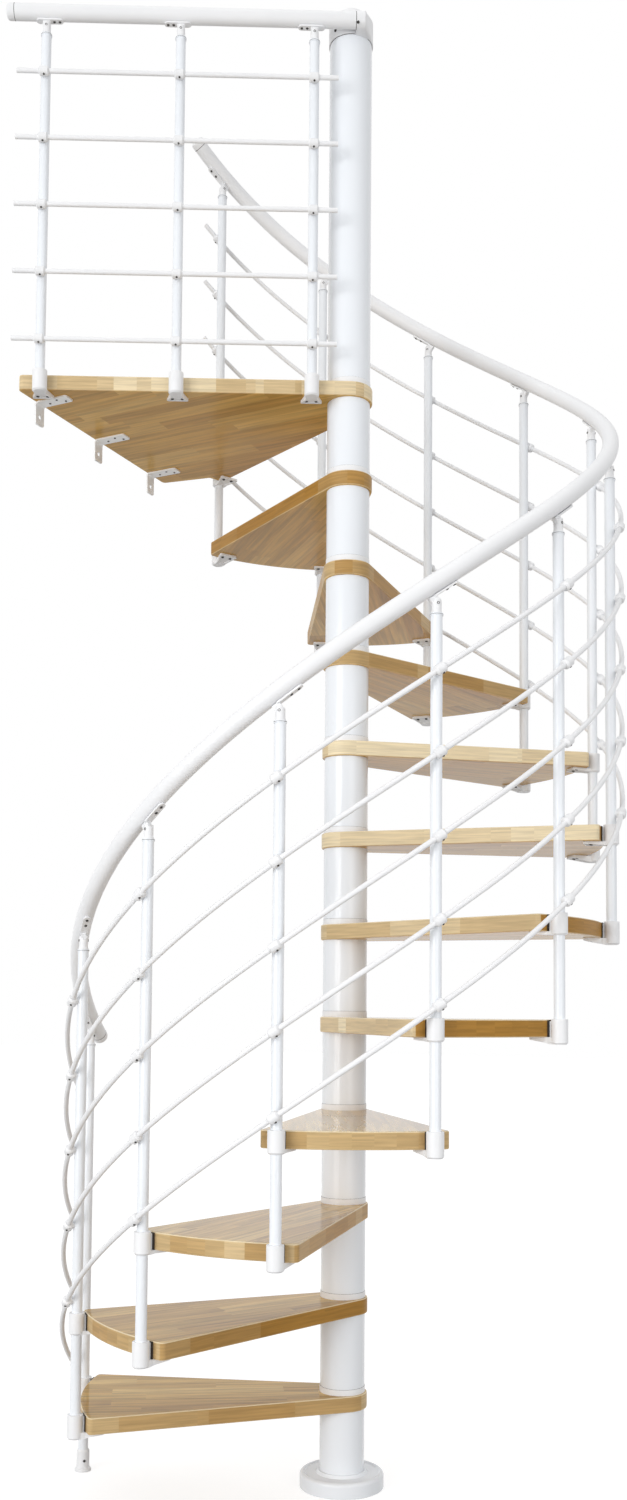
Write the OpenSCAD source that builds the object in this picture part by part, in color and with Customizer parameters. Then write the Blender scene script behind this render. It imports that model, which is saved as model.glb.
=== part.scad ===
// Spiral staircase on a round central column.
// Wooden treads are clamped between steel spacers, and the balustrade is
// hung outside the treads on brackets. Millimetres, +Z up, origin on the
// floor at the column's axis. The landing's fixing edge faces -X.

/* [Flight] */
// Rise from one tread top to the next
rise = 230; // [200:1:240]
// Turn from one tread to the next, in degrees
turn = 28.44; // [24:0.02:32]
// Bearing of the baluster at the landing's nosing, in degrees from +X
top_bearing = 150.3; // [130:0.1:170]

/* [Column] */
// Outside diameter of the spacer tubes and newel
column_d = 110; // [80:1:140]
// Wall of the column tubes
column_wall = 3; // [2:0.5:6]
// Outside diameter of the inner pole that clamps the treads
core_d = 60; // [40:1:76]
// Height of the levelling ring under each spacer
ring_h = 14; // [6:1:20]
// Diameter of the floor flange
flange_d = 207; // [160:1:300]
// Height of the floor flange
flange_h = 37; // [20:1:60]
// Height of the newel cap's lower rim above the landing
cap_rim = 921; // [850:1:1000]

/* [Treads] */
// Thickness of the wooden treads and landing
tread_t = 38; // [30:1:50]
// Radius of the treads' outer edge
tread_r = 638; // [500:1:900]
// Radius of the round end that the column clamps
boss_r = 61; // [50:1:80]
// Half of the angle between a tread's two rounded corners
tread_half = 17; // [14:0.5:20]
// Rounding of the outer corners of the treads and landing
corner_r = 12; // [4:1:30]

/* [Landing] */
// Distance of the landing's fixing edge from the column's axis
landing_reach = 721; // [650:1:900]
// End of the fixing edge beside the stair
landing_inner = 253; // [200:1:320]
// Bearing of the landing's nosing edge
nosing_dir = 155.8; // [150:0.1:165]
// Bearing of the landing's open edge, which carries the railing
open_dir = 207.4; // [195:0.1:220]

/* [Balustrade] */
// Radius of the balusters' circle
post_r = 660; // [520:5:920]
// Diameter of the balusters
post_d = 25; // [20:1:40]
// Height of a baluster's top above the tread at its foot
post_top = 1074.7; // [900:0.1:1200]
// Diameter of the handrail
rail_d = 40; // [34:1:50]
// Height of the handrail's axis above a baluster's top, on the slope
rail_lift = 67.8; // [60:0.1:80]
// Number of infill bars
bars = 5; // [3:1:7]
// Diameter of the infill bars
bar_d = 12; // [8:1:16]
// Height of the lowest bar above the tread at the baluster's foot
bar_first = 259; // [150:1:300]
// Vertical distance between the bars
bar_pitch = 173.5; // [100:0.5:220]
// Distance of the bars outside the balusters' axes
bar_out = 24; // [20:1:40]

/* [Landing railing] */
// Distance of the landing balusters outside the open edge
side_out = 20; // [19:1:40]
// First landing baluster, along the open edge from the column
side_first = 97; // [80:1:150]
// Spacing of the landing balusters
side_pitch = 341; // [200:1:400]
// Height of the landing balusters above the landing
side_top = 878; // [800:1:1000]
// Height of the level rail's axis above the landing balusters
side_lift = 59; // [50:1:80]
// Height of the lowest level bar above the landing
side_bar_first = 72; // [40:1:150]

/* [Hidden] */
$fn = 64;
treads = 11;
side_posts = 3;
white = "#eef0f2";
plastic = "#f6f7f8";
wood = "#c69a62";
zinc = "#d9dbdd";
landing_z = (treads + 1) * rise;
pitch_len = post_r * turn * PI / 180;
slope = atan(rise / pitch_len);
bar_slope = atan(rise / ((post_r + bar_out) * turn * PI / 180));
sleeve_r = 18.5;
plate_t = 5;
plate_reach = 64;
plate_half = 27;
clip_r = 11.5;
angle_w = 30;
angle_t = 4;
angle_y = [-345, -83, 179];
rail_lead = 5.3;
rail_tail = 7;
bar_lead = 3.8;
rail_past = 10;
side_end = side_first + (side_posts - 1) * side_pitch;
side_rail_end = side_end + 81;
cap_z = landing_z + cap_rim;

function two(i) = i < 10 ? str("0", i) : str(i);
function post_a(i) = top_bearing - (treads - i) * turn;
function dir(a) = [cos(a), sin(a)];
function tread_a(k) = post_a(k) - turn / 2;
function unit(v) = v / norm(v);
// An arc of the radius r about c, as points for a turned profile.
function arc(c, r, from, to) = [for (a = [from : (to - from) / 6 : to]) c + r * dir(a)];
function heading(v) = atan2(v[1], v[0]);
function swing(d) = d > 180 ? d - 360 : (d < -180 ? d + 360 : d);
// Points of a corner at b, rounded between the edges to a and to c.
function corner(a, b, c, r) =
    let (
        u = unit(a - b),
        w = unit(c - b),
        half = acos(u * w) / 2,
        mid = b + unit(u + w) * r / sin(half),
        from = heading(b + u * r / tan(half) - mid),
        to = heading(b + w * r / tan(half) - mid)
    )
        arc(mid, r, from, from + swing(to - from));

// Places its children at baluster i, with x outward and y uphill.
module at_post(i) {
    rotate([0, 0, post_a(i)])
        translate([post_r, 0, i * rise])
            children();
}

// Places its children on the landing's open edge, with x outward and y
// along the edge toward the column.
module at_side(along) {
    rotate([0, 0, open_dir + 90])
        translate([boss_r + side_out, -along, landing_z])
            children();
}

// Points of a helical tube about Z: the rings stand square to the slope.
function helix_ring(a, z, rad, r, pitch, n) = [
    for (j = [0 : n - 1])
        let (t = 360 * (j + 0.5) / n, out = rad + r * cos(t), up = r * sin(t))
            [
                out * cos(a) + up * sin(pitch) * sin(a),
                out * sin(a) - up * sin(pitch) * cos(a),
                z + up * cos(pitch)
            ]
];

// A tube of radius r along a helix, with a ring at every baluster.
module helix_tube(rad, r, z0, pitch, lead, tail, n) {
    step = turn / 6;
    a0 = post_a(0);
    angles = concat([-lead], [for (m = [0 : 6 * treads]) m * step], [treads * turn + tail]);
    rings = len(angles);
    points = [
        for (a = angles)
            each helix_ring(a0 + a, z0 + a / turn * rise, rad, r, pitch, n)
    ];
    sides = [
        for (m = [0 : rings - 2], j = [0 : n - 1])
            let (k = (j + 1) % n)
                each [
                    [m * n + j, m * n + k, (m + 1) * n + k],
                    [m * n + j, (m + 1) * n + k, (m + 1) * n + j]
                ]
    ];
    first = [for (j = [n - 1 : -1 : 0]) j];
    last = [for (j = [0 : n - 1]) (rings - 1) * n + j];
    polyhedron(points, concat([first], sides, [last]), convexity = 8);
}

module tube(r, wall, h) {
    difference() {
        cylinder(r = r, h = h);
        translate([0, 0, -1])
            cylinder(r = r - wall, h = h + 2);
    }
}

// Floor flange: a rounded lip, a shallow dish inside it, a low collar round
// the column and a socket for the inner pole.
module floor_flange() {
    r = flange_d / 2;
    lip = 9;
    collar = column_d / 2 + 0.3;
    core = core_d / 2 + 0.3;
    color(white)
        rotate_extrude()
            polygon(concat(
                [[0, 0], [r - 1, 0], [r, 1]],
                arc([r - lip, flange_h - lip], lip, 0, 90),
                [[r - 14, flange_h - 3], [collar + 9, flange_h - 2]],
                [[collar + 5, flange_h + 5], [collar, flange_h + 5], [collar, flange_h - 3]],
                [[core, flange_h - 3], [core, 8], [0, 8]]
            ));
}

module core_pole() {
    color(zinc)
        translate([0, 0, 8])
            tube(core_d / 2, 3, cap_z + 20);
}

module spacer_tubes() {
    color(white)
        for (k = [0 : treads]) {
            low = k == 0 ? flange_h - 3 : k * rise + ring_h;
            translate([0, 0, low])
                tube(column_d / 2, column_wall, (k + 1) * rise - tread_t - low);
        }
}

module levelling_rings() {
    color(plastic)
        for (k = [1 : treads + 1])
            translate([0, 0, k * rise])
                tube(column_d / 2 + 1, column_wall + 3, ring_h);
}

// Outline of a tread that points along +X: the round end, two rounded
// corners, the outer arc and the straight edges tangent to them.
module tread_outline() {
    reach = tread_r - corner_r;
    lean = tread_half + acos((boss_r - corner_r) / reach);
    circle(r = boss_r);
    for (s = [-1, 1])
        translate(reach * dir(s * tread_half))
            circle(r = corner_r);
    polygon([
        boss_r * dir(-lean),
        reach * dir(-tread_half) + corner_r * dir(-lean),
        tread_r * dir(-tread_half),
        tread_r * dir(tread_half),
        reach * dir(tread_half) + corner_r * dir(lean),
        boss_r * dir(lean)
    ]);
    intersection() {
        circle(r = tread_r);
        polygon([[0, 0], 1.2 * tread_r * dir(-tread_half), 1.2 * tread_r * dir(tread_half)]);
    }
}

module tread(k) {
    color(wood)
        translate([0, 0, k * rise - tread_t])
            rotate([0, 0, tread_a(k)])
                difference() {
                    linear_extrude(tread_t)
                        tread_outline();
                    translate([0, 0, -1])
                        cylinder(d = core_d + 0.6, h = tread_t + 2);
                }
}

// The landing: a nosing edge and an open edge tangent to the round end,
// and a straight edge against the upper floor.
module landing() {
    span = sqrt(pow(tread_r, 2) - pow(boss_r, 2));
    nose = boss_r * dir(nosing_dir - 90);
    side = boss_r * dir(open_dir + 90);
    run = (landing_reach + side[0]) / -cos(open_dir);
    tip = nose + span * dir(nosing_dir);
    notch = tread_r * dir(top_bearing + 4.2);
    inner = [-landing_reach, landing_inner];
    outer = side + run * dir(open_dir);
    color(wood)
        translate([0, 0, landing_z - tread_t])
            difference() {
                linear_extrude(tread_t)
                    union() {
                        circle(r = boss_r);
                        polygon(concat(
                            [nose],
                            corner(nose, tip, notch, corner_r),
                            [notch],
                            corner(notch, inner, outer, corner_r),
                            corner(inner, outer, side, corner_r),
                            [side]
                        ));
                    }
                translate([0, 0, -1])
                    cylinder(d = core_d + 0.6, h = tread_t + 2);
            }
}

module newel_tube() {
    color(white)
        translate([0, 0, landing_z + ring_h])
            tube(column_d / 2, column_wall, cap_rim - ring_h + 60);
}

// Cap over the newel. Its raised half carries on round the end of the
// level rail, which passes beside the column.
module newel_cap() {
    r = column_d / 2 + 2.5;
    h = 84;
    color(plastic)
        difference() {
            union() {
                translate([0, 0, cap_z])
                    rotate_extrude()
                        polygon([[0, 0], [r, 0], [r, h - 24], [r - 22, h], [0, h]]);
                hull() {
                    at_side(-rail_past)
                        translate([0, 0, side_top + side_lift])
                            rotate([-90, 0, 0])
                                cylinder(d = rail_d + 4, h = 22, $fn = 32);
                    intersection() {
                        translate([0, 0, cap_z + 6])
                            cylinder(r = r, h = h - 30, $fn = 48);
                        rotate([0, 0, open_dir + 90])
                            translate([-r, rail_past, cap_z])
                                cube([2 * r, r, h]);
                    }
                }
            }
            translate([0, 0, cap_z - 60])
                cylinder(d = column_d + 0.4, h = 120);
        }
}

// Foot cup of the first baluster, with a rounded base and a tapered rim.
module floor_foot() {
    base_r = 20.5;
    base_h = 8;
    edge = 4;
    cup_r = 16;
    high = 54;
    color(plastic)
        at_post(0)
            difference() {
                rotate_extrude()
                    polygon(concat(
                        [[0, 0], [base_r, 0]],
                        arc([base_r - edge, base_h - edge], edge, 0, 90),
                        [[cup_r, base_h], [cup_r, high - 4], [post_d / 2 + 0.6, high], [0, high]]
                    ));
                translate([0, 0, 4])
                    cylinder(d = post_d, h = high);
            }
}

module baluster(i) {
    low = i == 0 ? 4 : -50;
    color(white)
        at_post(i) {
            translate([0, 0, low])
                cylinder(d = post_d, h = post_top - low);
            translate([0, 0, post_top - 5])
                cylinder(d = post_d + 3, h = 5);
        }
}

// Flared foot of a bracket, seen from above, with its end's corners rounded.
module foot_outline(reach, half, r) {
    for (s = [-1, 1])
        translate([r - reach, s * (half - r)])
            circle(r = r);
    polygon([
        [0, -15], [-22, -15], [r - reach, -half], [-reach, r - half],
        [-reach, half - r], [r - reach, half], [-22, 15], [0, 15]
    ]);
}

// Bracket that holds a baluster against a tread's edge: a sleeve, a neck
// and a flared foot under the wood, whose underside rises from the sleeve
// and has a sunk panel. The tread top is at z = 0 and its edge at x = -gap.
module edge_bracket(gap, high, low, floor_t) {
    under = -tread_t - plate_t;
    near = 12;
    run = plate_reach - near;
    rim = 5;
    sunk = 2.5;
    difference() {
        union() {
            rotate_extrude()
                polygon([
                    [0, low], [sleeve_r - 3.5, low], [sleeve_r, low + 3.5],
                    [sleeve_r, high - 1], [sleeve_r - 1, high], [0, high]
                ]);
            translate([-gap, -9, under])
                cube([gap, 18, tread_t + plate_t - 3]);
            difference() {
                translate([0, 0, low])
                    linear_extrude(-tread_t - low)
                        foot_outline(plate_reach, plate_half, 6);
                translate([-near, 0, low])
                    rotate([0, atan((under - low) / run), 0]) {
                        translate([-2 * run, -run, -run])
                            cube([2 * run, 2 * run, run]);
                        translate([0, 0, -1])
                            linear_extrude(sunk + 1)
                                polygon([
                                    [-8, -9], [rim - run, rim - plate_half],
                                    [rim - run, plate_half - rim], [-8, 9]
                                ]);
                    }
            }
        }
        translate([0, 0, low + floor_t])
            cylinder(d = post_d, h = high - low + 2);
    }
}

module nosing_brackets() {
    color(plastic)
        for (i = [0 : treads])
            at_post(i)
                translate([0, 0, rise])
                    edge_bracket(post_r - tread_r, 2.6, -46.5, -1);
}

module rear_brackets() {
    color(plastic)
        for (i = [1 : treads])
            at_post(i)
                edge_bracket(post_r - tread_r, 1.5, -53.5, 3.5);
}

// Saddle between a baluster's top and the rail above it: a flared stem, a
// tab that turns on the stem's round head, and a plate with round ends
// that lies along the rail.
module saddle(lift, lean, from, to) {
    drop = rail_d / 2 + 0.2;
    head = 21;
    head_r = 10.5;
    half = 9;
    plate = 4;
    cylinder(r1 = post_d / 2, r2 = head_r, h = 6);
    intersection() {
        cylinder(r = head_r, h = head + head_r);
        union() {
            translate([-head_r, -head_r, 0])
                cube([2 * head_r, 2 * head_r, head]);
            translate([0, 0, head])
                rotate([0, 90, 0])
                    cylinder(r = head_r, h = 2 * head_r, center = true);
        }
    }
    translate([0, 0, head])
        rotate([lean, 0, 0])
            translate([-5.5, -9.5, 0])
                cube([11, 19, (lift - head) * cos(lean) - drop - 1]);
    translate([0, 0, lift])
        rotate([lean, 0, 0])
            translate([0, 0, -drop - plate]) {
                translate([-half, from + half, 0])
                    cube([2 * half, to - from - 2 * half, plate]);
                for (end = [from + half, to - half])
                    translate([0, end, 0])
                        cylinder(r = half, h = plate);
            }
}

module rail_saddles() {
    color(plastic) {
        for (i = [0 : treads])
            at_post(i)
                translate([0, 0, post_top])
                    saddle(rail_lift, slope, -26, 42);
        for (m = [0 : side_posts - 1])
            at_side(side_first + m * side_pitch)
                translate([0, 0, side_top])
                    saddle(side_lift, 0, m == 2 ? -26 : -42, m == 2 ? 42 : 26);
    }
}

module handrail() {
    color(plastic)
        helix_tube(post_r, rail_d / 2, post_top + rail_lift, slope, rail_lead, rail_tail, 16);
}

module rail_end_caps() {
    color(plastic) {
        for (e = [[-rail_lead, -1], [treads * turn + rail_tail, 1]])
            rotate([0, 0, post_a(0) + e[0]])
                translate([post_r, 0, post_top + rail_lift + e[0] / turn * rise])
                    rotate([slope - 90 * e[1], 0, 0])
                        rail_cap();
        at_side(side_rail_end)
            translate([0, 0, side_top + side_lift])
                rotate([90, 0, 0])
                    rail_cap();
    }
}

// Plug that closes a rail's end, with a rounded edge.
module rail_cap() {
    r = rail_d / 2;
    h = 20;
    edge = 8;
    rotate_extrude()
        polygon(concat(
            [[0, 0], [r, 0]],
            arc([r - edge, h - edge], edge, 0, 90),
            [[0, h]]
        ));
}

module infill_bar(j) {
    color(plastic)
        helix_tube(post_r + bar_out, bar_d / 2, bar_first + (j - 1) * bar_pitch,
            bar_slope, bar_lead, bar_lead, 8);
}

// Knuckle that carries a bar on the outside of a baluster: a neck and a
// barrel with round ends along the bar.
module bar_clip(lean) {
    difference() {
        union() {
            rotate([0, 90, 0])
                cylinder(r = 8, h = bar_out);
            translate([bar_out, 0, 0])
                rotate([lean - 90, 0, 0])
                    intersection() {
                        cylinder(r = clip_r, h = 40, center = true);
                        sphere(r = 1.3 * clip_r);
                    }
        }
        cylinder(d = post_d, h = 60, center = true);
        translate([bar_out, 0, 0])
            rotate([lean - 90, 0, 0])
                cylinder(d = bar_d + 0.4, h = 60, center = true);
    }
}

module bar_clips() {
    color(plastic) {
        for (i = [0 : treads], j = [0 : bars - 1])
            at_post(i)
                translate([0, 0, bar_first + j * bar_pitch])
                    bar_clip(bar_slope);
        for (m = [0 : side_posts - 1], j = [0 : bars - 1])
            at_side(side_first + m * side_pitch)
                translate([0, 0, side_bar_first + j * bar_pitch])
                    bar_clip(0);
    }
}

module landing_brackets() {
    color(plastic)
        for (m = [0 : side_posts - 1])
            at_side(side_first + m * side_pitch)
                edge_bracket(side_out, 1.5, -53.5, 3.5);
}

module landing_balusters() {
    color(white)
        for (m = [0 : side_posts - 1])
            at_side(side_first + m * side_pitch) {
                translate([0, 0, -50])
                    cylinder(d = post_d, h = side_top + 50);
                translate([0, 0, side_top - 5])
                    cylinder(d = post_d + 3, h = 5);
            }
}

module landing_handrail() {
    color(plastic)
        at_side(side_rail_end)
            translate([0, 0, side_top + side_lift])
                rotate([-90, 0, 0])
                    cylinder(d = rail_d, h = side_rail_end + rail_past);
}

module landing_bars() {
    color(plastic)
        for (j = [0 : bars - 1])
            at_side(side_end + 69)
                translate([bar_out, 0, side_bar_first + j * bar_pitch])
                    rotate([-90, 0, 0])
                        cylinder(d = bar_d, h = side_end - side_first + 130);
}

// One leg of an angle along +X, with its end's corners rounded.
module angle_leg(length) {
    half = angle_w / 2;
    low = [length, -half];
    high = [length, half];
    linear_extrude(angle_t)
        polygon(concat(
            [[0, half], [0, -half]],
            corner([0, -half], low, high, 6),
            corner(low, high, [0, half], 6)
        ));
}

// Angles that fix the landing to the edge of the upper floor.
module floor_edge_angles() {
    color(zinc)
        for (y = angle_y)
            translate([-landing_reach, y, landing_z - tread_t])
                difference() {
                    union() {
                        translate([0, 0, -angle_t])
                            angle_leg(75);
                        rotate([0, 90, 0])
                            angle_leg(58);
                    }
                    translate([-1, 0, -36])
                        rotate([0, 90, 0])
                            cylinder(d = 11, h = 10);
                }
}

floor_flange();
core_pole();
spacer_tubes();
levelling_rings();
for (k = [1 : treads])
    tread(k);
landing();
newel_tube();
newel_cap();
floor_foot();
for (i = [0 : treads])
    baluster(i);
nosing_brackets();
rear_brackets();
rail_saddles();
handrail();
rail_end_caps();
for (j = [1 : bars])
    infill_bar(j);
bar_clips();
landing_brackets();
landing_balusters();
landing_handrail();
landing_bars();
floor_edge_angles();
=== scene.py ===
from math import acos, atan, atan2, cos, degrees, hypot, radians, sin, sqrt

import bmesh
import bpy
from mathutils import Matrix, Vector


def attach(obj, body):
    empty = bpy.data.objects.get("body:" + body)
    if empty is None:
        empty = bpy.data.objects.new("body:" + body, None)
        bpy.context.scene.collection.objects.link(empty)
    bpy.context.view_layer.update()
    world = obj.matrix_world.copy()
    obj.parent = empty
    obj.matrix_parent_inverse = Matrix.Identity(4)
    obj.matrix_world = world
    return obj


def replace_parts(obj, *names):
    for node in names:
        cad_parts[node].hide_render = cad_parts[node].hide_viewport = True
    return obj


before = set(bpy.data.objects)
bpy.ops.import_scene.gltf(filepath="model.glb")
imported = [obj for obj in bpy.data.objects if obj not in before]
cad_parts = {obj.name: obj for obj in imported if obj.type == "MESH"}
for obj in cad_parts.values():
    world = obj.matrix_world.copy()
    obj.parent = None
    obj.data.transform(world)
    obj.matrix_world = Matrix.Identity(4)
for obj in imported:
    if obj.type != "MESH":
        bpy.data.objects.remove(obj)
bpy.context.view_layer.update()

# FLOOR FLANGE
# The turned steel foot of the column, powder-coated white, with a rounded
# lip and a shallow dish. It is bolted to the floor from inside the column.


def linear(code):
    """An sRGB hex colour as linear RGBA."""
    parts = [int(code[i:i + 2], 16) / 255 for i in (1, 3, 5)]
    return [c / 12.92 if c <= 0.04045 else ((c + 0.055) / 1.055) ** 2.4 for c in parts] + [1.0]


def add(tree, kind, inputs, **settings):
    """Adds a node, sets its options, and sets or links its inputs."""
    node = tree.nodes.new("ShaderNode" + kind)
    for name, value in settings.items():
        setattr(node, name, value)
    for key, value in inputs.items():
        if isinstance(value, bpy.types.NodeSocket):
            tree.links.new(value, node.inputs[key])
        else:
            node.inputs[key].default_value = value
    return node


def material(name):
    """A new material, with its node tree and its shader."""
    made = bpy.data.materials.new(name)
    made.use_nodes = True
    return made, made.node_tree, made.node_tree.nodes["Principled BSDF"]


def dress(finish, *names):
    """Gives CAD nodes a finish."""
    for name in names:
        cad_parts[name].material_slots[0].material = finish


# Powder-coated steel: a glossy white film, slightly greyer where it is thin,
# with an orange-peel ripple. The real ripple is 2 mm from crest to crest and
# is drawn at 6 mm, so that it shows.
powder_coat, tree, shader = material("powder_coated_steel")
place = add(tree, "TexCoord", {}).outputs["Object"]
thin = add(tree, "TexNoise", {"Vector": place, "Scale": 3.0, "Detail": 2.0})
film = add(tree, "Mix", {"Factor": thin.outputs[0], "A": linear("#ebeff4"), "B": linear("#f1f4f8")},
           data_type="RGBA")
peel = add(tree, "TexNoise", {"Vector": place, "Scale": 160.0, "Detail": 1.0})
gloss = add(tree, "MapRange", {"Value": thin.outputs[0], "To Min": 0.14, "To Max": 0.22})
ripple = add(tree, "Bump", {"Height": peel.outputs[0], "Strength": 0.02, "Distance": 0.0002})
tree.links.new(film.outputs["Result"], shader.inputs["Base Color"])
tree.links.new(gloss.outputs["Result"], shader.inputs["Roughness"])
tree.links.new(ripple.outputs["Normal"], shader.inputs["Normal"])
shader.inputs["IOR"].default_value = 1.45
dress(powder_coat, "floor_flange")

# COLUMN
# Steel spacer tubes stand between the treads, and a nylon levelling ring
# under each tube takes up the rise. A threaded pole inside clamps the stack.

# Here and below, sizes are in metres and bearings and turns in degrees.
rise = 0.230
tread_count = 11
landing_z = (tread_count + 1) * rise
column_r = 0.055
ring_h = 0.014
ring_joint_up = 0.0003
ring_joint_w = 0.0005

# Moulded nylon: clean white, a little warmer and duller than the steel. Its
# spark-eroded grain of 1 mm is drawn at 4 mm, so that it shows.
nylon, tree, shader = material("moulded_white_nylon")
place = add(tree, "TexCoord", {}).outputs["Object"]
flow = add(tree, "TexNoise", {"Vector": place, "Scale": 12.0, "Detail": 2.0})
body = add(tree, "Mix", {"Factor": flow.outputs[0], "A": linear("#ebecee"), "B": linear("#f2f2f3")},
           data_type="RGBA")
grain = add(tree, "TexNoise", {"Vector": place, "Scale": 250.0, "Detail": 1.0})
gloss = add(tree, "MapRange", {"Value": flow.outputs[0], "To Min": 0.38, "To Max": 0.5})
ripple = add(tree, "Bump", {"Height": grain.outputs[0], "Strength": 0.012, "Distance": 0.0001})
tree.links.new(body.outputs["Result"], shader.inputs["Base Color"])
tree.links.new(gloss.outputs["Result"], shader.inputs["Roughness"])
tree.links.new(ripple.outputs["Normal"], shader.inputs["Normal"])
shader.inputs["IOR"].default_value = 1.45

# Bright zinc plate with a clear passivation: pale, almost white metal with a
# cloudy bloom in patches of 15 mm.
zinc, tree, shader = material("zinc_plated_steel")
place = add(tree, "TexCoord", {}).outputs["Object"]
bloom = add(tree, "TexNoise", {"Vector": place, "Scale": 60.0, "Detail": 4.0})
skin = add(tree, "Mix", {"Factor": bloom.outputs[0], "A": linear("#eeeff0"), "B": linear("#f7f8f8")},
           data_type="RGBA")
gloss = add(tree, "MapRange", {"Value": bloom.outputs[0], "To Min": 0.35, "To Max": 0.55})
tree.links.new(skin.outputs["Result"], shader.inputs["Base Color"])
tree.links.new(gloss.outputs["Result"], shader.inputs["Roughness"])
shader.inputs["Metallic"].default_value = 0.1

# Painted shadow: matt and nearly black, with a dusty bloom in patches of 5 mm. It
# # draws the thin rings in the joints and the strips in the gaps beside the brackets.
shadow_black, tree, shader = material("painted_shadow_black")
place = add(tree, "TexCoord", {}).outputs["Object"]
dust = add(tree, "TexNoise", {"Vector": place, "Scale": 200.0, "Detail": 3.0})
skin = add(tree, "Mix", {"Factor": dust.outputs[0], "A": linear("#221b16"), "B": linear("#3f352c")},
           data_type="RGBA")
tree.links.new(skin.outputs["Result"], shader.inputs["Base Color"])
shader.inputs["Roughness"].default_value = 0.8


def moved(x, y, z):
    """A move, in metres."""
    return Matrix.Translation((x, y, z))


def piece(name, bm, finish):
    """Turns a bmesh into an object of the stair, smooth except at edges sharper than 35 degrees."""
    mesh = bpy.data.meshes.new(name)
    bm.to_mesh(mesh)
    bm.free()
    mesh.materials.append(finish)
    mesh.shade_smooth()
    mesh.set_sharp_from_angle(angle=radians(35))
    made = bpy.data.objects.new(name, mesh)
    bpy.context.scene.collection.objects.link(made)
    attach(made, "root")
    return made


def joint_shadow_ring(bm, place, r, width, sides=48):
    """A thin ring of painted shadow, seated in the joint of a tube of radius r, round the place's own Z.
    """
    bite, proud, half = 0.0008, 0.0002, width / 2
    corners = [bm.verts.new((x, 0, z)) for x, z in ((r - bite, -half), (r + proud, -half),
                                                    (r + proud, half), (r - bite, half))]
    section = [bm.edges.new((corners[i - 1], corners[i])) for i in range(4)]
    before = set(bm.verts) - set(corners)
    bmesh.ops.spin(bm, geom=corners + section, cent=(0, 0, 0), axis=(0, 0, 1), angle=radians(360),
                   steps=sides, use_merge=True)
    ring = [v for v in bm.verts if v not in before]
    bmesh.ops.recalc_face_normals(bm, faces=list({f for v in ring for f in v.link_faces}))
    bmesh.ops.transform(bm, matrix=place, verts=ring)


dress(powder_coat, "spacer_tubes", "newel_tube")
dress(nylon, "levelling_rings")
dress(zinc, "core_pole")
# Thin black rings in the joint above each levelling ring: painted shadow of the joint line.
bm = bmesh.new()
for k in range(1, tread_count + 2):
    joint_shadow_ring(bm, moved(0, 0, k * rise + ring_h + ring_joint_up), column_r, ring_joint_w)
piece("column_joint_shadows", bm, shadow_black)

# TREADS
# Wedges sawn from a laminated hardwood board, with eased edges and clear
# varnish. The column clamps their round end.
tread_t = 0.038
tread_r = 0.638
boss_r = 0.061
tread_half = 17
corner_r = 0.012
core_r = 0.0303
turn = 28.44
top_bearing = 150.3
ease = 0.0028
bore_margin = 0.002
rim_margin = 0.0005
rim_inset = 0.4
boss_steps, corner_steps, rim_steps, bore_sides = 28, 8, 20, 32
corner_angle = 1.2  # in radians
tiny = 1e-6

# Laminated hardwood: staves 46 mm wide and about 420 mm long, each of its own
# tone. The sawn edges differ from board to board, and their tones also hold
# painted light, paler on the middle treads. On three treads the outer rim is
# darker end grain with painted shade over it. The grain of 1 to 2 mm is drawn in
# bands of 12 mm, and of 5 mm along the edges, so that it shows. Eased edges are
# paler: a painted highlight, stronger on the upper edges. The tops have a glossy
# varnish, the undersides and the edges a duller one.
laminate, tree, shader = material("laminated_varnished_hardwood")
board = add(tree, "Attribute", {}, attribute_name="board").outputs["Vector"]
axes = add(tree, "SeparateXYZ", {"Vector": board})
stave_w = 0.046
stave_l = 0.42
row = add(tree, "Math", {0: axes.outputs["Y"], 1: stave_w}, operation="DIVIDE")
row = add(tree, "Math", {0: row.outputs[0]}, operation="FLOOR")
shift = add(tree, "TexWhiteNoise", {"W": row.outputs[0]}, noise_dimensions="1D")
along = add(tree, "Math", {0: axes.outputs["X"], 1: stave_l}, operation="DIVIDE")
along = add(tree, "Math", {0: along.outputs[0], 1: shift.outputs["Value"]}, operation="ADD")
along = add(tree, "Math", {0: along.outputs[0]}, operation="FLOOR")
cell = add(tree, "CombineXYZ", {"X": along.outputs[0], "Y": row.outputs[0]})
pick = add(tree, "TexWhiteNoise", {"Vector": cell.outputs[0]}, noise_dimensions="3D")
# Per-tread tone of the sawn edges and rims: the board's own tone with painted light and shade in it.
board_and_light_tone = add(tree, "Attribute", {}, attribute_name="board_and_light_tone").outputs["Fac"]
spread = add(tree, "MapRange", {"Value": pick.outputs["Value"], "To Min": -0.2, "To Max": 0.2})
mixed = add(tree, "Math", {0: board_and_light_tone, 1: spread.outputs["Result"]}, operation="ADD")
tones = []
for picked, codes in ((pick.outputs["Value"], ("#be9758", "#cfa962", "#dfbd78")),
                      (pick.outputs["Value"], ("#c0934c", "#d1a457", "#ddb46a")),
                      (mixed.outputs[0], ("#a87c3a", "#c6aa7c", "#e8d8b6"))):
    ramp = add(tree, "ValToRGB", {"Fac": picked})
    stops = ramp.color_ramp.elements
    stops.new(0.5)
    for stop, code in zip(stops, codes):
        stop.color = linear(code)
    tones.append(ramp.outputs["Color"])
top_tone, under_tone, sawn_tone = tones
facing = add(tree, "SeparateXYZ", {"Vector": add(tree, "TexCoord", {}).outputs["Normal"]})
level = add(tree, "Math", {0: facing.outputs["Z"]}, operation="ABSOLUTE")
sawn = add(tree, "MapRange", {"Value": level.outputs[0], "From Min": 0.2, "From Max": 0.6,
                              "To Min": 1.0, "To Max": 0.0})
upper = add(tree, "MapRange", {"Value": facing.outputs["Z"], "From Min": 0.2, "From Max": 0.6})
face = add(tree, "Mix", {"Factor": upper.outputs["Result"], "A": under_tone, "B": top_tone},
           data_type="RGBA")
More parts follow.
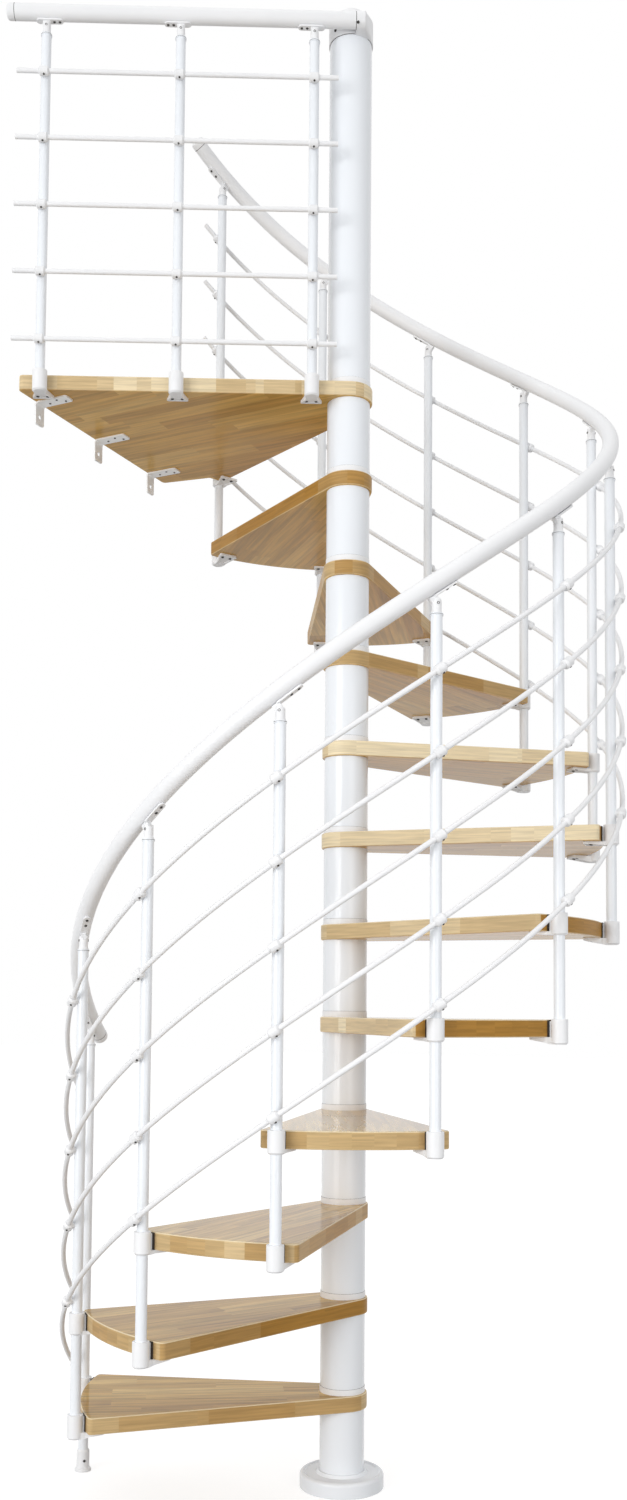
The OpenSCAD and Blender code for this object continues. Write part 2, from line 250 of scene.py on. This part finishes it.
tone = add(tree, "Mix", {"Factor": sawn.outputs["Result"], "A": face.outputs["Result"], "B": sawn_tone},
           data_type="RGBA")
apart = add(tree, "VectorMath", {0: pick.outputs["Color"], "Scale": 7.0}, operation="SCALE")
local = add(tree, "VectorMath", {0: board, 1: apart.outputs[0]}, operation="ADD")
streak = add(tree, "Mapping", {"Vector": local.outputs[0], "Scale": (4.0, 80.0, 80.0)})
bands = add(tree, "TexNoise", {"Vector": streak.outputs[0], "Scale": 1.0, "Detail": 3.0,
                               "Distortion": 0.5})
layer = add(tree, "Mapping", {"Vector": local.outputs[0], "Scale": (8.0, 8.0, 200.0)})
cut = add(tree, "TexNoise", {"Vector": layer.outputs[0], "Scale": 1.0, "Detail": 4.0})
lines = add(tree, "Mix", {"Factor": sawn.outputs["Result"], "A": bands.outputs[0], "B": cut.outputs[0]})
aspect = add(tree, "Math", {0: upper.outputs["Result"], 1: sawn.outputs["Result"]},
             operation="SUBTRACT")
faint = add(tree, "MapRange", {"Value": aspect.outputs[0], "From Min": -1.0, "To Min": 0.88,
                               "To Max": 0.66})
depth = add(tree, "MapRange", {"Value": lines.outputs[0], "From Min": 0.34, "From Max": 0.66,
                               "To Min": faint.outputs["Result"], "To Max": 1.14})
figure = add(tree, "VectorMath", {0: tone.outputs["Result"], "Scale": depth.outputs["Result"]},
             operation="SCALE")
# Eased edges are lightened towards cream: a painted highlight, full on the upper edges.
arris_highlight = add(tree, "Attribute", {}, attribute_name="arris_highlight").outputs["Fac"]
highlight_share = add(tree, "Math", {0: arris_highlight, 1: 0.85}, operation="MULTIPLY")
wood = add(tree, "Mix", {"Factor": highlight_share.outputs[0], "A": figure.outputs[0], "B": linear("#f0e2c2")},
           data_type="RGBA")
varnish = add(tree, "MapRange", {"Value": lines.outputs[0], "To Min": 0.05, "To Max": 0.08})
matt = add(tree, "MapRange", {"Value": aspect.outputs[0], "From Min": -1.0, "To Min": 0.32,
                              "To Max": 0.0})
gloss = add(tree, "Math", {0: varnish.outputs["Result"], 1: matt.outputs["Result"]}, operation="ADD")
pores = add(tree, "Bump", {"Height": lines.outputs[0], "Strength": 0.002, "Distance": 0.0006})
tree.links.new(wood.outputs["Result"], shader.inputs["Base Color"])
tree.links.new(gloss.outputs[0], shader.inputs["Roughness"])
tree.links.new(pores.outputs["Normal"], shader.inputs["Normal"])
shader.inputs["IOR"].default_value = 1.5
shader.inputs["Specular IOR Level"].default_value = 0.1


def turned(angle, axis):
    """A turn about an axis, by an angle in degrees."""
    return Matrix.Rotation(radians(angle), 4, axis)


def verts_of(geom):
    """The vertices among what a bmesh operator returns."""
    return [g for g in geom if isinstance(g, bmesh.types.BMVert)]


def outline(bm, arcs):
    """Draws a closed outline in the XY plane from arcs of (centre, radius, from, to, steps)."""
    first = last = None
    for (x, y), r, start, stop, steps in arcs:
        point = bm.verts.new((x + r * cos(radians(start)), y + r * sin(radians(start)), 0))
        if last:
            bm.edges.new((last, point))
        first = first or point
        if steps:
            swept = bmesh.ops.spin(bm, geom=[point], cent=(x, y, 0), axis=(0, 0, 1),
                                   angle=radians(stop - start), steps=steps)
            point = verts_of(swept["geom_last"])[0]
        last = point
    bm.edges.new((last, first))


def board_from(bm, place, offset, tone, rim_tone_and_shade):
    """Makes a board from outlines: its thickness, eased edges with a painted highlight, stave axes, and
    tones with painted light in them.
    """
    bmesh.ops.triangle_fill(bm, use_beauty=True, use_dissolve=False, edges=bm.edges[:])
    top = bmesh.ops.extrude_face_region(bm, geom=bm.faces[:], use_keep_orig=True)
    bmesh.ops.translate(bm, vec=(0, 0, tread_t), verts=verts_of(top["geom"]))
    bmesh.ops.recalc_face_normals(bm, faces=bm.faces[:])
    rims = [e for e in bm.edges if len(e.link_faces) == 2 and e.calc_face_angle() > corner_angle
            and abs(e.verts[0].co.z - e.verts[1].co.z) < tiny
            and hypot(*e.verts[0].co.xy) > core_r + bore_margin]
    eased = set(bmesh.ops.bevel(bm, geom=rims, offset=ease, segments=3, profile=0.5, affect="EDGES",
                                material=-1)["faces"])
    axes = bm.verts.layers.float_vector.new("board")
    arris_highlight = bm.verts.layers.float.new("arris_highlight")
    board_and_light_tone = bm.verts.layers.float.new("board_and_light_tone")
    # Painted highlight on the eased faces, full on the upper edges and weaker on the lower ones.
    highlight_above, highlight_below = 1.0, 0.4
    for v in bm.verts:
        v[axes] = v.co + Vector(offset)
        highlight_weight = highlight_above if v.co.z > tread_t / 2 else highlight_below
        v[arris_highlight] = highlight_weight * eased.issuperset(v.link_faces)
        # Rim faces take the rim tone, which holds painted shade on three treads; the rest take the edge
        # tone, which holds painted light.
        v[board_and_light_tone] = rim_tone_and_shade if abs(hypot(*v.co.xy) - tread_r) < rim_margin else tone
    bmesh.ops.transform(bm, matrix=place, verts=bm.verts[:])


# Tones from dark to pale, from the lowest tread up: the sawn edges, then the
# outer rim. Besides the board's own tone they hold painted light: paler sawn
# edges on the middle treads, and painted shade on the rims of the fifth to
# seventh treads. Each tread comes from another place on the board.
edge_tones_and_light = (0.38, 0.12, 0.15, 0.38, 0.85, 0.6, 1.0, 0.95, 0.32, 0.28, 0.08)
rim_tones_and_shade = (0.38, 0.4, 0.42, 0.35, -0.25, -0.25, -0.1, 0.3, 0.2, 0.1, 0.05)
cut_along, cut_across = 1.19, 0.83
reach = tread_r - corner_r
lean = tread_half + degrees(acos((boss_r - corner_r) / reach))
corner_at = [(reach * cos(radians(a)), reach * sin(radians(a))) for a in (-tread_half, tread_half)]
for k, (edge_tone_and_light, rim_tone_and_shade) in enumerate(zip(edge_tones_and_light, rim_tones_and_shade), 1):
    bm = bmesh.new()
    outline(bm, [
        ((0, 0), boss_r, lean, 360 - lean, boss_steps),
        (corner_at[0], corner_r, -lean, -tread_half, corner_steps),
        ((0, 0), tread_r, -tread_half + rim_inset, tread_half - rim_inset, rim_steps),
        (corner_at[1], corner_r, tread_half, lean, corner_steps),
    ])
    bmesh.ops.create_circle(bm, cap_ends=False, segments=bore_sides, radius=core_r)
    bearing = top_bearing - (tread_count - k) * turn - turn / 2
    place = moved(0, 0, k * rise - tread_t) @ turned(bearing, "Z")
    board_from(bm, place, (cut_along * k, cut_across * k, 0), edge_tone_and_light, rim_tone_and_shade)
    step = piece(f"tread_board_{k:02d}", bm, laminate)
    step.modifiers.new("flat_faces", "WEIGHTED_NORMAL").keep_sharp = True
    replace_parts(step, f"tread_{k:02d}")

# LANDING
# A larger board of the same laminate. Its long edge meets the upper floor,
# and the open edge carries the landing railing.
landing_reach = 0.721
landing_inner = 0.253
nosing_dir = 155.8
open_dir = 207.4
notch_past = 4.2
landing_cut = (31.0, 17.0, 0)
landing_tone = 0.74


def heading(a):
    """A unit vector in the plan, from a bearing in degrees."""
    return Vector((cos(radians(a)), sin(radians(a))))


def rounded(a, b, c, r):
    """The arc that rounds a corner at b, between the edges to a and to c."""
    u, w = (a - b).normalized(), (c - b).normalized()
    half = acos(u.dot(w)) / 2
    mid = b + (u + w).normalized() * (r / sin(half))
    start = b + u * (r * cos(half) / sin(half)) - mid
    stop = b + w * (r * cos(half) / sin(half)) - mid
    start, stop = degrees(atan2(start.y, start.x)), degrees(atan2(stop.y, stop.x))
    return (mid, r, start, start + (stop - start + 180) % 360 - 180, corner_steps)


nose = heading(nosing_dir - 90) * boss_r
tip = nose + heading(nosing_dir) * sqrt(tread_r ** 2 - boss_r ** 2)
notch = heading(top_bearing + notch_past) * tread_r
inner = Vector((-landing_reach, landing_inner))
side = heading(open_dir + 90) * boss_r
outer = side + heading(open_dir) * ((landing_reach + side.x) / -cos(radians(open_dir)))
bm = bmesh.new()
outline(bm, [
    rounded(nose, tip, notch, corner_r),
    (notch, 0, 0, 0, 0),
    rounded(notch, inner, outer, corner_r),
    rounded(inner, outer, side, corner_r),
    ((0, 0), boss_r, open_dir - 270, nosing_dir - 90, boss_steps),
])
bmesh.ops.create_circle(bm, cap_ends=False, segments=bore_sides, radius=core_r)
board_from(bm, moved(0, 0, landing_z - tread_t), landing_cut, landing_tone, landing_tone)
platform = piece("landing_board", bm, laminate)
platform.modifiers.new("flat_faces", "WEIGHTED_NORMAL").keep_sharp = True
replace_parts(platform, "landing")

# NEWEL CAP
# A moulded nylon cap over the newel, held by a socket screw in its skirt. A
# second one, in its shoulder, holds the end of the level rail.
cap_rim = 0.921
cap_joint_w = 0.0012
skirt_r = 0.0575
skirt_dir = -109.7
skirt_screw_up = 0.0185
skirt_screw_r = 0.0045
side_out = 0.020
level_rail_z = 0.937
rail_r = 0.020
shoulder_r = 0.022
shoulder_along = -0.0135
shoulder_tilt = 45
shoulder_screw_r = 0.0042
rail_joint_along = -0.0093
rail_joint_w = 0.0014

# Blackened steel: a dark oxide skin with a dull metal sheen, rubbed lighter
# in spots of 2 mm.
black_steel, tree, shader = material("blackened_screw_steel")
place = add(tree, "TexCoord", {}).outputs["Object"]
rub = add(tree, "TexNoise", {"Vector": place, "Scale": 500.0, "Detail": 2.0})
skin = add(tree, "Mix", {"Factor": rub.outputs[0], "A": linear("#33312f"), "B": linear("#64615e")},
           data_type="RGBA")
gloss = add(tree, "MapRange", {"Value": rub.outputs[0], "To Min": 0.4, "To Max": 0.6})
tree.links.new(skin.outputs["Result"], shader.inputs["Base Color"])
tree.links.new(gloss.outputs["Result"], shader.inputs["Roughness"])
shader.inputs["Metallic"].default_value = 0.7


def screw(bm, place, r):
    """A button-head socket screw on a surface, its head along the place's own Z."""
    head = bmesh.ops.create_cone(bm, cap_ends=True, segments=12, radius1=r, radius2=0.75 * r,
                                 depth=0.9 * r, matrix=place)
    up = place.to_3x3() @ Vector((0, 0, 1))
    crown = max({f for v in head["verts"] for f in v.link_faces},
                key=lambda f: f.calc_center_median().dot(up))
    crown.normal_update()
    bmesh.ops.inset_region(bm, faces=[crown], thickness=0.28 * r, depth=-0.4 * r)


def at_side(along):
    """The frame on the landing's open edge: x outward, y toward the column, z = 0 on the wood."""
    return turned(open_dir + 90, "Z") @ moved(boss_r + side_out, -along, landing_z)


dress(nylon, "newel_cap")
tip_out = turned(90, "Y")
lay_along = turned(90, "X")
bm = bmesh.new()
skirt = turned(skirt_dir, "Z") @ moved(skirt_r, 0, landing_z + cap_rim + skirt_screw_up)
screw(bm, skirt @ tip_out, skirt_screw_r)
shoulder = at_side(shoulder_along) @ moved(0, 0, level_rail_z) @ turned(shoulder_tilt, "Y")
screw(bm, shoulder @ moved(shoulder_r, 0, 0) @ tip_out, shoulder_screw_r)
piece("newel_cap_screws", bm, black_steel)
# Thin black rings at the level rail's joint with the cap and at the cap's rim: painted shadow in these
# joints.
bm = bmesh.new()
joint_shadow_ring(bm, at_side(rail_joint_along) @ moved(0, 0, level_rail_z) @ lay_along, rail_r, rail_joint_w)
joint_shadow_ring(bm, moved(0, 0, landing_z + cap_rim - cap_joint_w / 2), column_r, cap_joint_w)
piece("newel_cap_joint_shadows", bm, shadow_black)

# BALUSTERS AND FOOT
# Steel tubes, powder-coated, each between a tread and the handrail. The
# first stands in a nylon cup that a socket screw clamps.
post_count = tread_count + 1
post_r = 0.660
cup_r = 0.016
cup_screw_dir = 120
cup_screw_up = 0.027
cup_screw_r = 0.004


def at_post(i):
    """The frame at a baluster of the flight: x outward, y uphill, z = 0 on the tread at its foot."""
    return turned(top_bearing - (tread_count - i) * turn, "Z") @ moved(post_r, 0, i * rise)


dress(powder_coat, *[f"baluster_{i:02d}" for i in range(post_count)])
dress(nylon, "floor_foot")
bm = bmesh.new()
cup = at_post(0) @ turned(cup_screw_dir, "Z") @ moved(cup_r, 0, cup_screw_up)
screw(bm, cup @ tip_out, cup_screw_r)
piece("foot_screw", bm, black_steel)

# BRACKETS
# Nylon sleeves that hold the balusters against the tread edges. Each has a
# flared foot with two screws into the wood. A black strip beside each is painted
# shadow in the gap between the sleeve and the wood.
under_wood = -0.043
foot_near = 0.012
foot_run = 0.052
sunk = 0.0025
through_low = -0.0465
closed_low = -0.0535
foot_screw_in = 0.037
foot_screw_apart = 0.0125
foot_screw_r = 0.0048
tip_down = turned(180, "X")
dress(nylon, "nosing_brackets", "rear_brackets")


def foot_screws(bm, place, low):
    """Two screws in the sunk panel under a bracket's foot, whose underside rises from the sleeve."""
    climb = Matrix.Rotation(atan((under_wood - low) / foot_run), 4, "Y")
    rising = place @ moved(-foot_near, 0, low) @ climb
    for y in (-foot_screw_apart, foot_screw_apart):
        screw(bm, rising @ moved(-foot_screw_in, y, sunk) @ tip_down, foot_screw_r)


def gap_shadow_strip(bm, place, gap):
    """A dark strip of painted shadow in the gap against the wood's edge, with rounded corners."""
    thick, wide, high, middle, soft = 0.0024, 0.030, 0.0366, -0.0192, 0.0008
    strip = place @ moved(thick / 2 - gap, 0, middle) @ Matrix.Diagonal((thick, wide, high, 1))
    made = bmesh.ops.create_cube(bm, size=1, matrix=strip)
    edges = list({e for v in made["verts"] for e in v.link_edges})
    bmesh.ops.bevel(bm, geom=edges, offset=soft, segments=2, profile=0.5, affect="EDGES", material=-1)


bm = bmesh.new()
# Dark strips of painted shadow in the gaps between the bracket sleeves and the tread edges.
gap_shadows = bmesh.new()
for i in range(post_count):
    nosing = at_post(i) @ moved(0, 0, rise)
    foot_screws(bm, nosing, through_low)
    gap_shadow_strip(gap_shadows, nosing, post_r - tread_r)
    if i:
        foot_screws(bm, at_post(i), closed_low)
        gap_shadow_strip(gap_shadows, at_post(i), post_r - tread_r)
piece("bracket_screws", bm, black_steel)
piece("bracket_gap_shadows", gap_shadows, shadow_black)

# HANDRAIL
# A white plastic tube bent to a helix, closed by plugs at both ends. It is
# screwed to saddles, each pinned to the top of its baluster.
post_top = 1.0747
rail_lift = 0.0678
rail_lead = 5.3
rail_tail = 7.0
rail_z = post_top + rail_lift
saddle_drop = 0.0242
saddle_spots = (0.012, 0.031)
saddle_screw_r = 0.004
collar_r = 0.014
collar_drop = 0.0025
collar_w = 0.0008
collar_sides = 20
pin_out = 0.010
pin_up = 0.021
pin_r = 0.0036
plug_joint_w = 0.0012
flight_sweep = tread_count * turn
first_bearing = top_bearing - flight_sweep


def on_helix(radius, z, a):
    """The frame on a helix at an angle past the first baluster: x outward, z along the climb."""
    out = heading(first_bearing + a).to_3d()
    ahead = Vector((-out.y, out.x, rise / (radius * radians(turn)))).normalized()
    spot = Matrix((out, ahead.cross(out), ahead)).transposed().to_4x4()
    spot.translation = out * radius + Vector((0, 0, z + a / turn * rise))
    return spot


def helix(bm, radius, r, z, lead, tail, sides, steps):
    """A round tube on a helix about the column, closed at both ends."""
    sweep = flight_sweep + lead + tail
    bmesh.ops.create_circle(bm, cap_ends=False, segments=sides, radius=r,
                            matrix=on_helix(radius, z, -lead))
    bmesh.ops.spin(bm, geom=bm.verts[:] + bm.edges[:], cent=(0, 0, 0), axis=(0, 0, 1),
                   angle=radians(sweep), steps=steps, dvec=(0, 0, sweep / turn * rise / steps))
    bmesh.ops.holes_fill(bm, edges=[e for e in bm.edges if e.is_boundary], sides=0)
    bmesh.ops.recalc_face_normals(bm, faces=bm.faces[:])


def saddle_screws(bm, place, lift, lean, spots):
    """A pin through the saddle's round head and two screws up through its plate into the rail."""
    for around in (0, 180):
        screw(bm, place @ turned(around, "Z") @ moved(pin_out, 0, pin_up) @ tip_out, pin_r)
    plate = place @ moved(0, 0, lift) @ Matrix.Rotation(lean, 4, "X")
    for y in spots:
        screw(bm, plate @ moved(0, y, -saddle_drop) @ tip_down, saddle_screw_r)


bm = bmesh.new()
helix(bm, post_r, rail_r, rail_z, rail_lead, rail_tail, sides=32, steps=130)
rail = piece("helical_handrail", bm, nylon)
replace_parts(rail, "handrail")
dress(nylon, "rail_saddles", "rail_end_caps")
bm = bmesh.new()
slope = atan(rise / (post_r * radians(turn)))
for i in range(post_count):
    saddle_screws(bm, at_post(i) @ moved(0, 0, post_top), rail_lift, slope, saddle_spots)
piece("saddle_screws", bm, black_steel)
# Thin black rings at the rail's end plugs and at the saddles' collars: painted shadow in these joints.
bm = bmesh.new()
for a in (-rail_lead, flight_sweep + rail_tail):
    joint_shadow_ring(bm, on_helix(post_r, rail_z, a), rail_r, plug_joint_w)
for i in range(post_count):
    joint_shadow_ring(bm, at_post(i) @ moved(0, 0, post_top - collar_drop), collar_r, collar_w, collar_sides)
piece("handrail_joint_shadows", bm, shadow_black)

# INFILL BARS
# Five thin plastic-coated bars run parallel to the handrail. A clip with one
# set screw holds each on the outside of every baluster.
bar_count = 5
bar_r = 0.006
bar_out = 0.024
bar_first = 0.259
bar_pitch = 0.1735
bar_past = 3.8
bar_ease = 0.0015
clip_r = 0.0115
clip_screw_dir = 68
clip_screw_r = 0.003


def clip_screw(bm, place, lean):
    """A set screw on the lower outer side of a clip's barrel."""
    barrel = place @ moved(bar_out, 0, 0) @ Matrix.Rotation(lean, 4, "X")
    screw(bm, barrel @ turned(clip_screw_dir, "Y") @ moved(clip_r, 0, 0) @ tip_out, clip_screw_r)


for j in range(bar_count):
    bm = bmesh.new()
    helix(bm, post_r + bar_out, bar_r, bar_first + j * bar_pitch, bar_past, bar_past, sides=16, steps=128)
    rims = [e for e in bm.edges if e.calc_face_angle() > corner_angle]
    bmesh.ops.bevel(bm, geom=rims, offset=bar_ease, segments=2, profile=0.5, affect="EDGES", material=-1)
    bar = piece(f"helical_bar_{j + 1}", bm, nylon)
    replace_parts(bar, f"infill_bar_{j + 1}")
dress(nylon, "bar_clips")
bm = bmesh.new()
bar_slope = atan(rise / ((post_r + bar_out) * radians(turn)))
for i in range(post_count):
    for j in range(bar_count):
        clip_screw(bm, at_post(i) @ moved(0, 0, bar_first + j * bar_pitch), bar_slope)
piece("clip_screws", bm, black_steel)

# LANDING RAILING
# The level balustrade along the landing's open edge, of the same tubes,
# brackets, saddles and clips.
side_spots = (0.097, 0.438, 0.779)
side_top = 0.878
side_lift = 0.059
side_bar_first = 0.072
side_saddle_spots = (0.019, 0.033)
level_rail_end = 0.860
dress(powder_coat, "landing_balusters")
dress(nylon, "landing_brackets", "landing_handrail", "landing_bars")
bm = bmesh.new()
# Dark strips of painted shadow in the gaps between the bracket sleeves and the landing's edge.
gap_shadows = bmesh.new()
for along in side_spots:
    end = 1 if along == side_spots[-1] else -1
    foot_screws(bm, at_side(along), closed_low)
    gap_shadow_strip(gap_shadows, at_side(along), side_out)
    saddle_screws(bm, at_side(along) @ moved(0, 0, side_top), side_lift, 0,
                  [y * end for y in side_saddle_spots])
    for j in range(bar_count):
        clip_screw(bm, at_side(along) @ moved(0, 0, side_bar_first + j * bar_pitch), 0)
piece("landing_railing_screws", bm, black_steel)
piece("landing_gap_shadows", gap_shadows, shadow_black)
# Thin black rings at the level rail's end plug and at the saddles' collars: painted shadow in these
# joints.
bm = bmesh.new()
joint_shadow_ring(bm, at_side(level_rail_end) @ moved(0, 0, level_rail_z) @ lay_along, rail_r, plug_joint_w)
for along in side_spots:
    joint_shadow_ring(bm, at_side(along) @ moved(0, 0, side_top - collar_drop), collar_r, collar_w, collar_sides)
piece("level_rail_joint_shadows", bm, shadow_black)

# FLOOR ANGLES
# Angles bent from steel bar, zinc-plated, with a round heel. Three staggered
# screws each go up into the landing, and the hole takes a bolt to the floor.
angle_w = 0.034
angle_t = 0.004
angle_y = (-0.345, -0.083, 0.179)
leaf_l = 0.096
leg_l = 0.058
heel_r = 0.009
tip_r = 0.006
tip_steps = 4
bolt_r = 0.0055
bolt_drop = 0.036
angle_screw_r = 0.0034
angle_screw_at = ((0.034, 0.002), (0.062, -0.008), (0.080, 0.007))
tip_x = leg_l - heel_r - tip_r
bm = bmesh.new()
outline(bm, [
    ((0, -angle_w / 2), 0, 0, 0, 0),
    ((tip_x, tip_r - angle_w / 2), tip_r, -90, 0, tip_steps),
    ((tip_x, angle_w / 2 - tip_r), tip_r, 0, 90, tip_steps),
    ((0, angle_w / 2), 0, 0, 0, 0),
])
bmesh.ops.create_circle(bm, cap_ends=False, segments=16, radius=bolt_r,
                        matrix=moved(bolt_drop - heel_r, 0, 0))
bmesh.ops.triangle_fill(bm, use_beauty=True, use_dissolve=False, edges=bm.edges[:])
front = bmesh.ops.extrude_face_region(bm, geom=bm.faces[:], use_keep_orig=True)["geom"]
bmesh.ops.translate(bm, vec=(0, 0, angle_t), verts=verts_of(front))
bmesh.ops.transform(bm, matrix=moved(0, 0, -heel_r) @ tip_out, verts=bm.verts[:])
bend = next(f for f in bm.faces if all(abs(v.co.z + heel_r) < tiny for v in f.verts))
rim = bend.verts[:] + bend.edges[:]
bmesh.ops.delete(bm, geom=[bend], context="FACES_ONLY")
heel = bmesh.ops.spin(bm, geom=rim, cent=(heel_r, 0, -heel_r), axis=(0, 1, 0), angle=radians(90), steps=5)
bent = [g for g in heel["geom_last"] if isinstance(g, bmesh.types.BMEdge)]
leaf = bmesh.ops.extrude_edge_only(bm, edges=bent)["geom"]
bmesh.ops.translate(bm, vec=(leaf_l - heel_r, 0, 0), verts=verts_of(leaf))
bmesh.ops.holes_fill(bm, edges=[e for e in bm.edges if e.is_boundary], sides=4)
bmesh.ops.recalc_face_normals(bm, faces=bm.faces[:])
corners = [e for e in bm.edges if all(v.co.x > leaf_l - tiny for v in e.verts)
           and abs(e.verts[0].co.y - e.verts[1].co.y) < tiny]
bmesh.ops.bevel(bm, geom=corners, offset=tip_r, segments=3, profile=0.5, affect="EDGES", material=-1)
one = bm.verts[:] + bm.edges[:] + bm.faces[:]
for y in angle_y[1:]:
    copied = bmesh.ops.duplicate(bm, geom=one)["geom"]
    bmesh.ops.translate(bm, vec=(0, y - angle_y[0], 0), verts=verts_of(copied))
bmesh.ops.translate(bm, vec=(-landing_reach, angle_y[0], landing_z - tread_t), verts=bm.verts[:])
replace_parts(piece("bent_floor_angles", bm, zinc), "floor_edge_angles")
bm = bmesh.new()
for y in angle_y:
    for x, across in angle_screw_at:
        spot = moved(x - landing_reach, y + across, landing_z - tread_t - angle_t)
        screw(bm, spot @ tip_down, angle_screw_r)
piece("angle_screws", bm, black_steel)

# STUDIO
# A white floor and backdrop, a large soft light at the front left, a fill on
# the right and a weak light high above.


def shown(tree):
    """1 for rays that show the studio, directly, in gloss or through glass, and 0 for its light."""
    path = add(tree, "LightPath", {})
    seen = add(tree, "Math", {0: path.outputs["Is Camera Ray"], 1: path.outputs["Is Glossy Ray"]},
               operation="MAXIMUM")
    seen = add(tree, "Math", {0: seen.outputs[0], 1: path.outputs["Is Transmission Ray"]},
               operation="MAXIMUM")
    return seen.outputs[0]


# Studio paper: matt grey for the light that it sends up, and white to look at.
paper, tree, shader = material("white_studio_paper")
shader.inputs["Base Color"].default_value = linear("#b2b2b2")
shader.inputs["Roughness"].default_value = 0.9
shader.inputs["Emission Color"].default_value = (1, 1, 1, 1)
lift = add(tree, "Math", {0: shown(tree), 1: 0.7}, operation="MULTIPLY")
tree.links.new(lift.outputs[0], shader.inputs["Emission Strength"])
bm = bmesh.new()
bmesh.ops.create_grid(bm, x_segments=1, y_segments=1, size=30)
mesh = bpy.data.meshes.new("studio_floor")
bm.to_mesh(mesh)
bm.free()
mesh.materials.append(paper)
floor = bpy.data.objects.new("studio_floor", mesh)
bpy.context.scene.collection.objects.link(floor)

world = bpy.data.worlds.new("studio")
bpy.context.scene.world = world
world.use_nodes = True
tree = world.node_tree
tree.nodes.clear()
level = add(tree, "MapRange", {"Value": shown(tree), "To Min": 0.68, "To Max": 1.0})
light = add(tree, "Background", {"Color": (1, 1, 1, 1), "Strength": level.outputs["Result"]})
add(tree, "OutputWorld", {"Surface": light.outputs[0]})


def softbox(name, spot, aim, size, power):
    """A square soft light at a spot, turned toward a point."""
    lamp = bpy.data.lights.new(name, "AREA")
    lamp.size = size
    lamp.energy = power
    made = bpy.data.objects.new(name, lamp)
    made.location = spot
    made.rotation_euler = (Vector(aim) - Vector(spot)).to_track_quat("-Z", "Y").to_euler()
    bpy.context.scene.collection.objects.link(made)


softbox("key", spot=(-2.0, -8.3, 2.2), aim=(0, 0, 1.7), size=4.5, power=340)
softbox("fill", spot=(4.6, -3.0, 1.6), aim=(0, 0, 1.2), size=3.0, power=52)
softbox("top", spot=(0.5, 0.0, 13.0), aim=(0, 0, 0), size=6.0, power=105)

# CAMERA
# At the photograph's place: below the middle of the stair and close to it,
# with the lens shifted up.
lens = bpy.data.cameras.new("photo_camera")
lens.sensor_width = 36
lens.lens = 33.32
lens.shift_x = -0.0019
lens.shift_y = 0.1167
lens.clip_end = 100
camera = bpy.data.objects.new("photo_camera", lens)
camera_at = (1.46467, -3.16983, 1.16978)
right_up_back = Matrix(((0.899028, 0.437821, 0.007875),
                        (0.019259, -0.057499, 0.99816),
                        (0.437468, -0.897221, -0.060125)))
camera.matrix_world = moved(*camera_at) @ right_up_back.transposed().to_4x4()
bpy.context.scene.collection.objects.link(camera)
bpy.context.scene.camera = camera
bpy.context.scene.view_settings.view_transform = "Standard"
